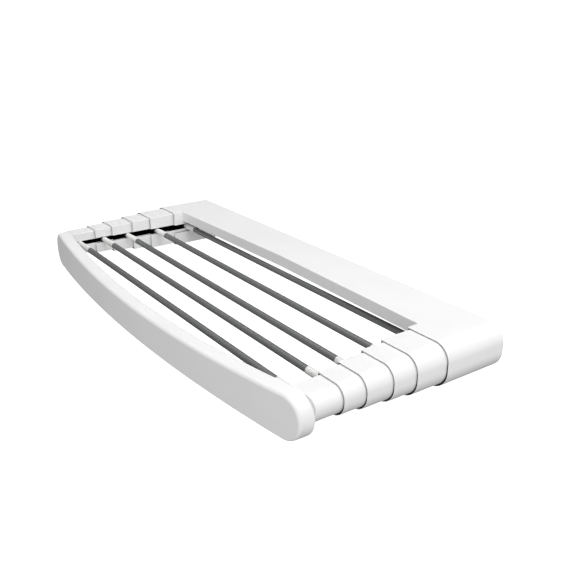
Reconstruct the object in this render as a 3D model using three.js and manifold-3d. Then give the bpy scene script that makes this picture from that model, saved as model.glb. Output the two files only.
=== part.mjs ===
// Wall mounted pull-out drying rack, in millimetres, +Z up.
// The wall is the plane Y = 0 and the rack reaches out towards -Y, drawn out to its full length.
// Two side arms of nested sleeves carry five rods and a bowed front bar.
// Heights below are counted from the housing's top. The finished rack is then raised, so that
// the origin lies in the middle of the wall plate's back.

import * as THREE from 'three';
import Module from 'manifold-3d';
import { mergeVertices } from 'three/addons/utils/BufferGeometryUtils.js';

const wasm = await Module();
wasm.setup();

// ---- driving dimensions -------------------------------------------------------------------

const GAP = 0.3; // between pieces that touch
const OVERLAP = 1; // how far joined solids and cutters run into or past each other
const WALL = 2.0; // moulded wall of the housing, the sleeves and the bar
const ARC_STEPS = 4; // facets in a quarter round
const ROUND_SIDES = 12; // facets round a small turned piece or hole

const HALF_WIDTH = 500; // outer side of the housing arm
const INNER_FACE = 407.5; // inner side of the housing arm
const HEIGHT = 82; // housing, top to bottom
const TOP_RADIUS = 30; // housing, outer top corner
const BOTTOM_RADIUS = 38; // housing, outer bottom corner

// What one sleeve loses to the one around it.
const STEP_TOP = 3.1;
const STEP_BOTTOM = 3.4;
const STEP_OUTER = 3.0;
const STEP_INNER = 4.55;
const STEP_RADIUS = 1.9;

// The slots that the rods' ends run in: the housing arm's, then those of sleeves 1 to 5.
const SLOTS = [
  { top: -31.8, bottom: -52.0 },
  { top: -31.1, bottom: -45.2 },
  { top: -31.1, bottom: -45.2 },
  { top: -32.1, bottom: -44.8 },
  { top: -32.1, bottom: -44.8 },
  { top: -34.2, bottom: -44.0 },
];
const ROD_Z = -38.5;

const HOUSING_MOUTH = 130.5; // distances from the wall, with the rack drawn out
const SLEEVES = [
  { mouth: 193.0, length: 108, travel: 62.0, rod: 96.2 },
  { mouth: 238.2, length: 95, travel: 45.0, rod: 175.1 },
  { mouth: 288.6, length: 98, travel: 50.0, rod: 249.9 },
  { mouth: 329.2, length: 88, travel: 40.0, rod: 308.6 },
  { mouth: 400.0, length: 116, travel: 44.0, rod: 366.9 },
];

const GUIDE = 0.8; // how much fatter a sleeve's hidden rear part is, and how deep the lip is
const LIP_LENGTH = 4;

const COVER_DEPTH_SIDE = 107; // the cover's front edge, beside the arms
const COVER_DEPTH_MIDDLE = 97; // and at the middle of the rack
const COVER_LIP = 23.7; // how far the front edge hangs down
const COVER_RIBS = [-300, -150, 0, 150, 300]; // low stiffening ribs under the cover
const RIB_THICK = 2;
const RIB_HEIGHT = 3.5;

const PLATE_THICK = 4;
const PLATE_HALF = 398;
const PLATE_TOP = -WALL - GAP;
const PLATE_BOTTOM = -76.3;
const ORIGIN_HEIGHT = (PLATE_TOP + PLATE_BOTTOM) / 2;
const FLANGE_REACH = 14;
const FLANGE_THICK = 3;
const WALL_SCREWS = [-330, -110, 110, 330];
const WALL_SCREW_Z = -42;

// Tabs on the housing rest on the plate's flange, and a screw from below holds each.
const TAB_LENGTH = 26;
const TAB_THICK = 3;
const TAB_TOP = PLATE_BOTTOM + FLANGE_THICK + GAP + TAB_THICK;
const TAB_SCREW_X = INNER_FACE - 16;
const TAB_SCREW_Y = -9;

const ROD_RADIUS = 6.2;
const ROD_BORE = 5.2;
const ROD_HALF = 371;
const FERRULE_RADIUS = 6.9; // at the rod
const FERRULE_NECK = 5.85; // where it runs in the slots
const FERRULE_FAT = 22; // length of the fat part
const FERRULE_TAPER = 12; // length of the taper down to the neck
const SPIGOT_RADIUS = 4.0;
const PLUG_RADIUS = ROD_BORE - GAP;
const PLUG_LENGTH = 22;

const RUNNER_PLATE = 1.5;
const RUNNER_LENGTH = 16;
const RUNNER_HEIGHT = 20;
const TONGUE_INSET = 1; // how much shorter its tongue is at each end

const BAR_FRONT = 439; // front of the bar at its middle
const BAR_RADIUS = 3350; // bow of the front face, seen from above
const BAR_DEPTH = 25;
const BAR_HALF = 485;
const BAR_TOP_END = -11.5; // the top edge dips from its ends to its middle
const BAR_TOP_MIDDLE = -23.5;
const BAR_BOTTOM = -88.5;
const BAR_END_RADIUS = (BAR_TOP_END - BAR_BOTTOM) / 2;
const BAR_RIM = 3.5; // wall of the bar's shell
const BAR_PANEL = 2.5;
// Steps that round the front edge: depth behind the front face, and inset of the outline.
const BAR_EDGE = [
  { depth: 0, inset: 3 },
  { depth: 4, inset: 0 },
];
const BAR_BACK_END = 330; // a block that holds the whole bar, as distances from the wall
const BAR_FRONT_END = 470;
const BAR_BLOCK_LOW = -120; // and as heights
const BAR_BLOCK_HIGH = 10;
const BAR_CURVE_STEPS = 8; // facets in each curve of the bar's outline
const BOW_STEPS = 14; // facets in the bow
const BRACKET_BACK = 362;
const TIP_ROOM = 4; // free depth past the tip of a front screw
const FRONT_SCREW_SPOTS = [
  { x: 456, z: -30 },
  { x: 456, z: -52 },
];
const BOSS_RADIUS = 5;

const SCREW_RADIUS = 2.0;
const SCREW_HOLE = SCREW_RADIUS + GAP;
const SCREW_HEAD = { radius: 3.8, height: 2.4 };
const WALL_SCREW_RADIUS = 2.5;
const WALL_SCREW_HEAD = { radius: 4.8, height: 3 };
const TAB_SCREW_SHANK = 8;
const FRONT_SCREW_BITE = 12; // how far a front screw reaches past the bar's back face
const BOSS_REACH = 12; // how far behind the bar's back face a boss for it could start

// ---- materials ----------------------------------------------------------------------------

function material(color, roughness, metalness) {
  return new THREE.MeshStandardMaterial({ color, roughness, metalness });
}

const WHITE_PLASTIC = material(0xf2f2f0, 0.38, 0);
const WHITE_FERRULE = material(0xe9e9e6, 0.45, 0);
const BLACK_PLASTIC = material(0x101010, 0.6, 0);
const ROD_COATING = material(0x66686a, 0.42, 0.2);
const PLATE_STEEL = material(0xd9dbdc, 0.5, 0.3);
const SCREW_STEEL = material(0xb4b6b8, 0.35, 0.9);

// ---- solids -------------------------------------------------------------------------------

function toSolid(geometry) {
  const bare = geometry.clone();
  bare.deleteAttribute('normal');
  bare.deleteAttribute('uv');
  const merged = mergeVertices(bare, 1e-4);
  return new wasm.Manifold(new wasm.Mesh({
    numProp: 3,
    vertProperties: new Float32Array(merged.attributes.position.array),
    triVerts: new Uint32Array(merged.index.array),
  }));
}

function toGeometry(solid) {
  const mesh = solid.getMesh();
  const geometry = new THREE.BufferGeometry();
  geometry.setAttribute('position', new THREE.BufferAttribute(mesh.vertProperties, 3));
  geometry.setIndex(new THREE.BufferAttribute(mesh.triVerts, 1));
  geometry.computeVertexNormals();
  return geometry;
}

function join(solids) {
  return solids.reduce((whole, piece) => whole.add(piece));
}

function cut(solid, cutters) {
  return cutters.reduce((rest, cutter) => rest.subtract(cutter), solid);
}

// A box between two corners, given as [x, y, z] in any order.
function block(a, b) {
  const size = a.map((value, i) => Math.abs(b[i] - value));
  const middle = a.map((value, i) => (value + b[i]) / 2);
  const geometry = new THREE.BoxGeometry(...size);
  geometry.translate(...middle);
  return toSolid(geometry);
}

// A shape drawn in (x, z) and drawn out from the wall, between two distances from it.
function drawnOut(shape, near, far, steps = ARC_STEPS) {
  const options = { depth: far - near, bevelEnabled: false, curveSegments: steps };
  const geometry = new THREE.ExtrudeGeometry(shape, options);
  geometry.translate(0, 0, near);
  geometry.rotateX(Math.PI / 2);
  return toSolid(geometry);
}

// A shape drawn in (x, y) and raised between two heights.
function raised(shape, low, high, steps) {
  const options = { depth: high - low, bevelEnabled: false, curveSegments: steps };
  const geometry = new THREE.ExtrudeGeometry(shape, options);
  geometry.translate(0, 0, low);
  return toSolid(geometry);
}

// A turned piece: the profile is [radius, height] pairs that start and end on the axis.
function turned(profile, sides = ROUND_SIDES) {
  const points = profile.map(([radius, height]) => new THREE.Vector2(radius, height));
  return new THREE.LatheGeometry(points, sides);
}

function cylinder(radius, length) {
  return turned([[0, 0], [radius, 0], [radius, length], [0, length]]);
}

// ---- the section of an arm ----------------------------------------------------------------

// Stage 0 is the housing arm, stages 1 to 5 are the sleeves.
function section(stage) {
  return {
    inner: INNER_FACE + stage * STEP_INNER,
    outer: HALF_WIDTH - stage * STEP_OUTER,
    top: -stage * STEP_TOP,
    bottom: -HEIGHT + stage * STEP_BOTTOM,
    topRadius: TOP_RADIUS - stage * STEP_RADIUS,
    bottomRadius: BOTTOM_RADIUS - stage * STEP_RADIUS,
    slot: SLOTS[stage],
  };
}

// The full outline of an arm, shrunk by an inset all round. Side is +1 (right) or -1 (left).
function fullOutline(side, s, inset = 0) {
  const quarter = Math.PI / 2;
  const shape = new THREE.Shape();
  const topX = s.outer - s.topRadius;
  const bottomX = s.outer - s.bottomRadius;
  const mirrored = side < 0;
  const angle = (value) => (mirrored ? Math.PI - value : value);
  shape.moveTo(side * (s.inner + inset), s.bottom + inset);
  shape.lineTo(side * (s.inner + inset), s.top - inset);
  shape.lineTo(side * topX, s.top - inset);
  shape.absarc(side * topX, s.top - s.topRadius, s.topRadius - inset,
    angle(quarter), angle(0), !mirrored);
  shape.lineTo(side * (s.outer - inset), s.bottom + s.bottomRadius);
  shape.absarc(side * bottomX, s.bottom + s.bottomRadius, s.bottomRadius - inset,
    angle(0), angle(-quarter), !mirrored);
  shape.closePath();
  return shape;
}

// The section fattened on its top, outer side and bottom, but not on its inner face.
function fattened(s, extra) {
  return {
    inner: s.inner,
    outer: s.outer + extra,
    top: s.top + extra,
    bottom: s.bottom - extra,
    topRadius: s.topRadius + extra,
    bottomRadius: s.bottomRadius + extra,
  };
}

// A stretch of arm between two distances from the room's wall: its skin may be fattened, and
// its hollow is the section shrunk by the moulded wall.
function hollowArm(side, s, near, far, { extra = 0, wall = WALL } = {}) {
  const outside = drawnOut(fullOutline(side, fattened(s, extra)), near, far);
  const inside = drawnOut(fullOutline(side, s, wall), near - 1, far + 1);
  return outside.subtract(inside);
}

function slotCutter(side, s, near, far) {
  return block(
    [side * (s.inner - OVERLAP), -near, s.slot.top],
    [side * (s.inner + WALL + GUIDE + OVERLAP), -far, s.slot.bottom],
  );
}

// ---- the bow of the front bar -------------------------------------------------------------

const BOW_CENTRE_Y = BAR_RADIUS - BAR_FRONT;
const BAND_MARGIN = 40; // the band runs past both ends of the bar
const SPACE_BEHIND = 220; // depth of the space behind the bar

// Plan shape between two distances behind the bar's front face.
function bowBand(near, far) {
  const outer = BAR_RADIUS - near;
  const inner = BAR_RADIUS - far;
  const reach = Math.asin((BAR_HALF + BAND_MARGIN) / BAR_RADIUS);
  const start = -Math.PI / 2 - reach;
  const end = -Math.PI / 2 + reach;
  const shape = new THREE.Shape();
  shape.absarc(0, BOW_CENTRE_Y, outer, start, end, false);
  shape.absarc(0, BOW_CENTRE_Y, inner, end, start, true);
  shape.closePath();
  return shape;
}

// The bar's outline seen from the front, shrunk by an inset all round.
function barOutline(inset) {
  const endX = BAR_HALF - BAR_END_RADIUS;
  const endZ = BAR_BOTTOM + BAR_END_RADIUS;
  const radius = BAR_END_RADIUS - inset;
  const dipZ = 2 * BAR_TOP_MIDDLE - BAR_TOP_END - inset;
  const quarter = Math.PI / 2;
  const shape = new THREE.Shape();
  shape.moveTo(-endX, BAR_TOP_END - inset);
  shape.quadraticCurveTo(0, dipZ, endX, BAR_TOP_END - inset);
  shape.absarc(endX, endZ, radius, quarter, -quarter, true);
  shape.lineTo(-endX, BAR_BOTTOM + inset);
  shape.absarc(-endX, endZ, radius, -quarter, -3 * quarter, true);
  shape.closePath();
  return shape;
}

// A slice of the bar: the outline with an inset, between two depths behind the front face.
function barSlice(inset, near, far) {
  const outline = drawnOut(barOutline(inset), BAR_BACK_END, BAR_FRONT_END, BAR_CURVE_STEPS);
  const band = raised(bowBand(near, far), BAR_BLOCK_LOW, BAR_BLOCK_HIGH, BOW_STEPS);
  return outline.intersect(band);
}

// Everything that lies behind the bar's back face, with the gap, for trimming what meets it.
function behindBar() {
  const band = bowBand(BAR_DEPTH + GAP, BAR_DEPTH + SPACE_BEHIND);
  return raised(band, BAR_BLOCK_LOW, BAR_BLOCK_HIGH, BOW_STEPS);
}

// ---- pieces -------------------------------------------------------------------------------

const rack = new THREE.Group();

function place(name, shape, look) {
  const geometry = shape instanceof THREE.BufferGeometry ? shape : toGeometry(shape);
  const mesh = new THREE.Mesh(geometry, look);
  mesh.name = name;
  rack.add(mesh);
  return mesh;
}

const SIDES = [['left', -1], ['right', 1]];

// A round cutter square to the wall, between two distances from it.
function screwHole(x, z, near, far, radius = SCREW_HOLE) {
  const geometry = new THREE.CylinderGeometry(radius, radius, far - near, ROUND_SIDES);
  geometry.translate(x, -(near + far) / 2, z);
  return toSolid(geometry);
}

// An upright round cutter for a tab's screw, through the flange or the tab.
function tabHole(side) {
  const length = 4 * (FLANGE_THICK + TAB_THICK);
  const geometry = new THREE.CylinderGeometry(SCREW_HOLE, SCREW_HOLE, length, ROUND_SIDES);
  geometry.rotateX(Math.PI / 2);
  geometry.translate(side * TAB_SCREW_X, TAB_SCREW_Y, TAB_TOP);
  return toSolid(geometry);
}

function coverOutline(inset, back) {
  const shape = new THREE.Shape();
  const reach = INNER_FACE + WALL / 2;
  shape.moveTo(-reach, -back);
  shape.lineTo(-reach, -COVER_DEPTH_SIDE + inset);
  shape.lineTo(0, -COVER_DEPTH_MIDDLE + inset);
  shape.lineTo(reach, -COVER_DEPTH_SIDE + inset);
  shape.lineTo(reach, -back);
  shape.closePath();
  return shape;
}

function housingArm(side) {
  const s = section(0);
  const tube = hollowArm(side, s, 0, HOUSING_MOUTH);
  const lip = hollowArm(side, s, HOUSING_MOUTH - LIP_LENGTH, HOUSING_MOUTH, { wall: WALL + GUIDE });
  const end = drawnOut(fullOutline(side, s), 0, WALL);
  const tab = block(
    [side * (INNER_FACE + OVERLAP), -PLATE_THICK - GAP, TAB_TOP],
    [side * (INNER_FACE - TAB_LENGTH), -FLANGE_REACH, TAB_TOP - TAB_THICK],
  );
  const slot = slotCutter(side, s, 20, HOUSING_MOUTH + 1);
  return cut(join([tube, lip, end, tab]), [slot, tabHole(side)]);
}

function coverRib(x) {
  return block(
    [x - RIB_THICK / 2, -PLATE_THICK - RIB_THICK, -OVERLAP],
    [x + RIB_THICK / 2, -COVER_DEPTH_MIDDLE + OVERLAP, -WALL - RIB_HEIGHT],
  );
}

function makeHousing() {
  const roof = raised(coverOutline(0, 0), -WALL, 0, 1);
  const lipOuter = raised(coverOutline(0, 0), -COVER_LIP, 0, 1);
  const lipInner = raised(coverOutline(WALL, -1), -COVER_LIP - 1, -WALL, 1);
  const front = lipOuter.subtract(lipInner);
  const arms = SIDES.map(([, side]) => housingArm(side));
  const ribs = COVER_RIBS.map(coverRib);
  place('housing', join([roof, front, ...arms, ...ribs]), WHITE_PLASTIC);
}

function makeWallPlate() {
  const plate = block([-PLATE_HALF, 0, PLATE_TOP], [PLATE_HALF, -PLATE_THICK, PLATE_BOTTOM]);
  const flange = block(
    [-PLATE_HALF, -OVERLAP, PLATE_BOTTOM],
    [PLATE_HALF, -FLANGE_REACH, PLATE_BOTTOM + FLANGE_THICK],
  );
  const holes = WALL_SCREWS.map((x) => {
    return screwHole(x, WALL_SCREW_Z, -OVERLAP, PLATE_THICK + OVERLAP, WALL_SCREW_RADIUS + GAP);
  });
  const tabHoles = SIDES.map(([, side]) => tabHole(side));
  place('wall_plate', cut(plate.add(flange), [...holes, ...tabHoles]), PLATE_STEEL);
}

// A pan head screw whose head rests on the plane height = 0 and whose shank goes down.
function screwShape(shank, radius, head) {
  return turned([
    [0, -shank],
    [radius, -shank],
    [radius, 0],
    [head.radius, 0],
    [head.radius, head.height * 0.5],
    [head.radius * 0.7, head.height],
    [0, head.height],
  ]);
}

function makeWallScrews() {
  WALL_SCREWS.forEach((x, i) => {
    const shape = screwShape(PLATE_THICK, WALL_SCREW_RADIUS, WALL_SCREW_HEAD);
    const screw = place(`wall_screw_${i + 1}`, shape, SCREW_STEEL);
    screw.rotation.x = Math.PI;
    screw.position.set(x, -PLATE_THICK - GAP, WALL_SCREW_Z);
  });
}

function makeHousingScrews() {
  SIDES.forEach(([name, side]) => {
    const shape = screwShape(TAB_SCREW_SHANK, SCREW_RADIUS, SCREW_HEAD);
    const screw = place(`housing_screw_${name}`, shape, SCREW_STEEL);
    screw.rotation.x = -Math.PI / 2;
    screw.position.set(side * TAB_SCREW_X, TAB_SCREW_Y, PLATE_BOTTOM - GAP);
  });
}

// One sleeve: a slotted tube with a lip inside its mouth. Its rear part is a little fatter: it
// guides the sleeve inside the one around it, and stops against that one's lip.
function sleeveSolid(side, stage) {
  const { mouth, length } = SLEEVES[stage - 1];
  const mouthBefore = stage === 1 ? HOUSING_MOUTH : SLEEVES[stage - 2].mouth;
  const s = section(stage);
  const rear = mouth - length;
  const stop = mouthBefore - LIP_LENGTH - GAP;
  const tube = hollowArm(side, s, rear, mouth);
  const guide = hollowArm(side, s, rear, stop, { extra: GUIDE });
  const lip = hollowArm(side, s, mouth - LIP_LENGTH, mouth, { wall: WALL + GUIDE });
  const last = stage === SLEEVES.length;
  const pieces = last ? [tube, guide] : [tube, guide, lip];
  const whole = join(pieces).subtract(slotCutter(side, s, rear - 1, mouth + 1));
  return last ? whole.intersect(behindBar()) : whole;
}

function makeSleeves() {
  SLEEVES.forEach((sleeve, i) => {
    SIDES.forEach(([name, side]) => {
      place(`${name}_sleeve_${i + 1}`, sleeveSolid(side, i + 1), WHITE_PLASTIC);
    });
  });
}

// Rod 5 hangs on sleeve 1, nearest the wall, and rod 1 on sleeve 5, behind the front bar.
const rodNumber = (stage) => SLEEVES.length + 1 - stage;

function makeRods() {
  SLEEVES.forEach((sleeve, i) => {
    const length = 2 * ROD_HALF;
    const outside = toSolid(cylinder(ROD_RADIUS, length));
    const bore = toSolid(cylinder(ROD_BORE, length + 2).translate(0, -1, 0));
    const tube = place(`rod_${rodNumber(i + 1)}`, outside.subtract(bore), ROD_COATING);
    tube.rotation.z = -Math.PI / 2;
    tube.position.set(-ROD_HALF, -sleeve.rod, ROD_Z);
  });
}

// A ferrule: plug inside the tube, shoulder out to the sleeve, spigot through the runner.
function ferruleShape(shoulder, spigot) {
  return turned([
    [0, -PLUG_LENGTH],
    [PLUG_RADIUS, -PLUG_LENGTH],
    [PLUG_RADIUS, GAP],
    [FERRULE_RADIUS, GAP],
    [FERRULE_RADIUS, FERRULE_FAT],
    [FERRULE_NECK, FERRULE_FAT + FERRULE_TAPER],
    [FERRULE_NECK, shoulder],
    [SPIGOT_RADIUS, shoulder],
    [SPIGOT_RADIUS, shoulder + spigot],
    [0, shoulder + spigot],
  ]);
}

function makeFerrules() {
  SLEEVES.forEach((sleeve, i) => {
    const shoulder = section(i + 1).inner - GAP - ROD_HALF;
    const spigot = GAP + WALL + GAP + RUNNER_PLATE;
    SIDES.forEach(([name, side]) => {
      const shape = ferruleShape(shoulder, spigot);
      const ferrule = place(`${name}_ferrule_${rodNumber(i + 1)}`, shape, WHITE_FERRULE);
      ferrule.rotation.z = -side * Math.PI / 2;
      ferrule.position.set(side * ROD_HALF, -sleeve.rod, ROD_Z);
    });
  });
}

// A runner: a plate behind the sleeve's inner wall with a tongue that fills the slot.
function runnerSolid(side, stage) {
  const { inner, slot } = section(stage);
  const { rod: y } = SLEEVES[stage - 1];
  const back = inner + WALL + GAP;
  const plate = block(
    [side * back, -y - RUNNER_LENGTH / 2, ROD_Z - RUNNER_HEIGHT / 2],
    [side * (back + RUNNER_PLATE), -y + RUNNER_LENGTH / 2, ROD_Z + RUNNER_HEIGHT / 2],
  );
  const tongue = block(
    [side * inner, -y - RUNNER_LENGTH / 2 + TONGUE_INSET, slot.bottom + GAP],
    [side * (back + OVERLAP / 2), -y + RUNNER_LENGTH / 2 - TONGUE_INSET, slot.top - GAP],
  );
  const bore = SPIGOT_RADIUS + GAP;
  const hole = new THREE.CylinderGeometry(bore, bore, RUNNER_LENGTH, ROUND_SIDES);
  hole.rotateZ(Math.PI / 2);
  hole.translate(side * inner, -y, ROD_Z);
  return plate.add(tongue).subtract(toSolid(hole));
}

function makeRunners() {
  SLEEVES.forEach((sleeve, i) => {
    SIDES.forEach(([name, side]) => {
      place(`${name}_runner_${rodNumber(i + 1)}`, runnerSolid(side, i + 1), BLACK_PLASTIC);
    });
  });
}

// Where a screw at x meets the bar's back face, as a distance from the wall.
function backFaceAt(x) {
  const radius = BAR_RADIUS - BAR_DEPTH;
  return Math.sqrt(radius * radius - x * x) - BOW_CENTRE_Y;
}

function frontScrewSpots() {
  return SIDES.flatMap(([, side]) => FRONT_SCREW_SPOTS.map(({ x, z }) => ({ x: side * x, z })));
}

function makeFrontBar() {
  const outside = join(BAR_EDGE.map(({ depth, inset }) => barSlice(inset, depth, BAR_DEPTH)));
  const room = barSlice(BAR_RIM, BAR_RIM, BAR_DEPTH + OVERLAP);
  const inside = barSlice(BAR_RIM - OVERLAP, BAR_RIM - OVERLAP, BAR_DEPTH - BAR_PANEL - GAP);
  const bosses = frontScrewSpots().map(({ x, z }) => {
    const back = backFaceAt(x);
    return screwHole(x, z, back - BOSS_REACH, back + 2 * BAR_DEPTH, BOSS_RADIUS).intersect(inside);
  });
  const holes = frontScrewSpots().map(({ x, z }) => {
    const back = backFaceAt(x);
    return screwHole(x, z, back - BOSS_REACH, back + FRONT_SCREW_BITE + TIP_ROOM);
  });
  place('front_bar', cut(join([outside.subtract(room), ...bosses]), holes), WHITE_PLASTIC);
  const panel = barSlice(BAR_RIM + GAP, BAR_DEPTH - BAR_PANEL, BAR_DEPTH);
  place('front_bar_back', cut(panel, holes), WHITE_PLASTIC);
}

// The plug that closes each last sleeve and carries the bar.
function makeBrackets() {
  const s = section(SLEEVES.length);
  const behindRunner = { ...s, inner: s.inner + WALL + GAP + RUNNER_PLATE + OVERLAP };
  SIDES.forEach(([name, side]) => {
    const plug = drawnOut(fullOutline(side, behindRunner), BRACKET_BACK, BAR_FRONT);
    const room = drawnOut(fullOutline(side, s, WALL + GAP), BRACKET_BACK, BAR_FRONT);
    const holes = FRONT_SCREW_SPOTS.map(({ x, z }) => {
      return screwHole(side * x, z, BRACKET_BACK - OVERLAP, BAR_FRONT);
    });
    const solid = cut(plug.intersect(room).intersect(behindBar()), holes);
    place(`${name}_bracket`, solid, BLACK_PLASTIC);
  });
}

function makeFrontScrews() {
  frontScrewSpots().forEach(({ x, z }, i) => {
    const shank = backFaceAt(x) - BRACKET_BACK + FRONT_SCREW_BITE;
    const shape = screwShape(shank, SCREW_RADIUS, SCREW_HEAD);
    const screw = place(`front_screw_${i + 1}`, shape, SCREW_STEEL);
    screw.position.set(x, -BRACKET_BACK + GAP, z);
  });
}

makeHousing();
makeWallPlate();
makeWallScrews();
makeHousingScrews();
makeSleeves();
makeRods();
makeFerrules();
makeRunners();
makeFrontBar();
makeBrackets();
makeFrontScrews();

const frame = new THREE.Group();
rack.position.z = -ORIGIN_HEIGHT;
frame.add(rack);

export default frame;
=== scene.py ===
import math
from collections import namedtuple

import bmesh
import bpy
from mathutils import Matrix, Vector


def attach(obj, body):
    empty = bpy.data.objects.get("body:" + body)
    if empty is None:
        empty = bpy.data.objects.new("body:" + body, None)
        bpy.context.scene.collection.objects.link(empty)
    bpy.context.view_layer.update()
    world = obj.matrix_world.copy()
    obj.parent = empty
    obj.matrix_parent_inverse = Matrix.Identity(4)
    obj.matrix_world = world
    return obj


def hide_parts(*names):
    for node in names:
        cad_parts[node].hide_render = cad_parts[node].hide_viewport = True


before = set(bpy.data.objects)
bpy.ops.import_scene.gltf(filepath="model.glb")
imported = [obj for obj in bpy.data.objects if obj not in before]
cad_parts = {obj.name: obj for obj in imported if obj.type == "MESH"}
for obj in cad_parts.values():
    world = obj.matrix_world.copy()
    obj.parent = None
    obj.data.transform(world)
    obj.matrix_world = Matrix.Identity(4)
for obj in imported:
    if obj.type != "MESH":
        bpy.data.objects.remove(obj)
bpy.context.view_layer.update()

# The looks of a wall mounted pull-out drying rack. Dimensions are in millimetres: x along the
# wall, depth out from the wall, and height counted down from the housing's top.
# spot() turns them into the row frame, in metres.

MM = 0.001
ORIGIN_HEIGHT = -39.3

GAP = 0.3
WALL = 2.0
OVERLAP = 1.0  # how far a solid runs into the one it joins, or past the one it cuts
SOFT = 0.4  # the rounding of a small edge

# the two arms: the housing's hollow ends, and the sleeves nested in them
HALF_WIDTH = 500.0
INNER_FACE = 407.5
HEIGHT = 82.0
TOP_RADIUS = 30.0
BOTTOM_RADIUS = 38.0
EDGE = 1.2  # radius of an arm's long inner edges
EDGE_LEAST = 0.3
BACK_EDGE = 0.5  # radius of the outside at the wall
MOUTH_EDGE = 0.5  # radius of the outside at the mouth
MOUTH_STEPS = 3
EDGE_STEPS = 4
TOP_STEPS = 14
BOTTOM_STEPS = 16
# how much smaller each sleeve is than the one before
STEP_TOP = 3.1
STEP_BOTTOM = 3.4
STEP_OUTER = 3.0
STEP_INNER = 4.55
STEP_RADIUS = 1.9
GUIDE = 0.8  # how far a sleeve's inner end stands out, and a lip stands in
GUIDE_RAMP = 0.8
LIP_LENGTH = 4.0
# wall left at an arm's mouth, where the gap is even and where it opens below
EVEN = {"face": 0.8, "top": 1.6, "outer": 0.6, "bottom": 2.5, "foot": 0.6, "relief": 1.2}
OPEN = {"face": 0.8, "top": 1.6, "outer": 0.5, "bottom": 2.5, "foot": 0.6, "relief": 2.4}
CORNER = 4.5  # radius of the mouth's upper inner corner
# The lip's face carries the painted shade. On the lower outer side it comes forward, and the open
# rims' relief widens the gap there, so a crescent of painted shade shows in the mouth's gap.
RECESS = 2.6  # how far the lip stands back from the mouth
RECESS_LOW = 0.25  # the same on the lower outer side
LEAN = 0.055  # how fast it comes forward there, for each millimetre down

HOUSING_MOUTH = 130.5
# mouth and rod are distances from the wall, and rim is the wall left at the mouth
Sleeve = namedtuple("Sleeve", "mouth length rod rim")
SLEEVES = (
    Sleeve(193.0, 108.0, 96.2, OPEN),
    Sleeve(238.2, 95.0, 175.1, EVEN),
    Sleeve(288.6, 98.0, 249.9, EVEN),
    Sleeve(329.2, 88.0, 308.6, OPEN),
    Sleeve(400.0, 116.0, 366.9, None),
)
# top and bottom of the slot in the housing's arm, then in sleeves 1 to 5
SLOTS = (
    (-31.8, -52.0),
    (-31.1, -45.2),
    (-31.1, -45.2),
    (-32.1, -44.8),
    (-32.1, -44.8),
    (-34.2, -44.0),
)
SLOT_START = 20.0

COVER_SIDE = 107.0
COVER_MIDDLE = 97.0
COVER_LIP = 23.7
COVER_RIBS = (-300.0, -150.0, 0.0, 150.0, 300.0)
COVER_RIB_THICK = 2.0
COVER_RIB_NEAR = 3.0
COVER_RIB_FOOT = -5.5

PLATE_THICK = 4.0
PLATE_HALF = 398.0
PLATE_TOP = -WALL - GAP
PLATE_BOTTOM = -76.3
PLATE_BEND = 4.0  # radius inside the bend
PLATE_EDGE = 0.5
FLANGE_REACH = 14.0
FLANGE_THICK = 3.0
WALL_SCREWS = (-330.0, -110.0, 110.0, 330.0)
WALL_SCREW_Z = -42.0
WALL_SCREW_HOLE = 2.8
TAB_LENGTH = 26.0
TAB_THICK = 3.0
TAB_TOP = PLATE_BOTTOM + FLANGE_THICK + GAP + TAB_THICK
TAB_NEAR = 5.0
TAB_EDGE = 0.5
TAB_SCREW_X = INNER_FACE - 16.0
TAB_SCREW_DEPTH = 9.0
TAB_SCREW_LENGTH = 8.0
FIVE_MM_SCREW = {"radius": 2.5, "head_radius": 4.8, "head_height": 3.0}
FOUR_MM_SCREW = {"radius": 2.0, "head_radius": 3.8, "head_height": 2.4}

ROD_Z = -38.5
ROD_RADIUS = 6.2
ROD_BORE = 5.2
ROD_ENDS = {"left": -371.0, "right": 376.0}
CUPS = {"left": 5.0, "right": 0.8}  # how far the ferrules' collars reach over the rod
CUP_GAP = 0.1
FERRULE_RADIUS = 6.9  # at the rod
FERRULE_NECK = 5.85  # where it runs in the slots
FERRULE_FAT = 22.0
FERRULE_TAPER = 12.0
COLLAR_LENGTH = 3.6
COLLAR_EDGE = 0.2
COLLAR_SLOPE = 0.5
PLUG_LENGTH = 20.0
PLUG_RADIUS = 4.8
PLUG_POINT = 0.6
RIB_START = 5.6
RIB_END = 4.0  # kept free of ribs before the neck's end
RIB_PITCH = 5.2
RIB_WIDTH = 2.9
RIB_RISE = 0.5
RIB_SUNK = 0.1  # below the barrel's own radius
PIN_RADIUS = 4.0
RUNNER_THICK = 1.5
RUNNER_HALF = 8.0
RUNNER_HALF_HEIGHT = 10.0
RUNNER_EDGE = 0.5
TONGUE_HALF = 7.0
PIN_HOLE = 4.2

BAR_FRONT = 439.0
BAR_RADIUS = 3350.0
BAR_DEPTH = 25.0
BAR_HALF = 485.0
BAR_TOP_END = -11.5
BAR_TOP_MIDDLE = -23.5
BAR_BOTTOM = -88.5
BAR_END_RADIUS = (BAR_TOP_END - BAR_BOTTOM) / 2
BAR_RIM = 3.5
BAR_PANEL = 2.5
PANEL_EDGE = 0.5
BAR_FILLET = 2.0  # between the rim and the front, inside
BAR_SOFT_TOP = 5.4  # radius of the front's upper edge
BAR_SOFT_BOTTOM = 3.0
BAR_SOFT_BACK = 1.2
BAR_DRAFT = 2.8  # how much the bar narrows towards its front, all round but below
BAR_STEPS = 40  # along the bar, between the round ends
BAR_END_STEPS = 20
BRACKET_BACK = 362.0
BRACKET_EDGE = 0.5
FACES_FRONT = -0.9  # the normal's y of a face that looks at the bar, at most
FRONT_SCREWS = ((456.0, -30.0), (456.0, -52.0))
FRONT_SCREW_REACH = 12.0  # how far they go in from the back of the bar

SIDES = (("left", -1), ("right", 1))


def spot(x, depth, z):
    """A point of the rack, in the row frame."""
    return Vector((x, -depth, z - ORIGIN_HEIGHT)) * MM


# ---- materials ---------------------------------------------------------------------------


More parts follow.
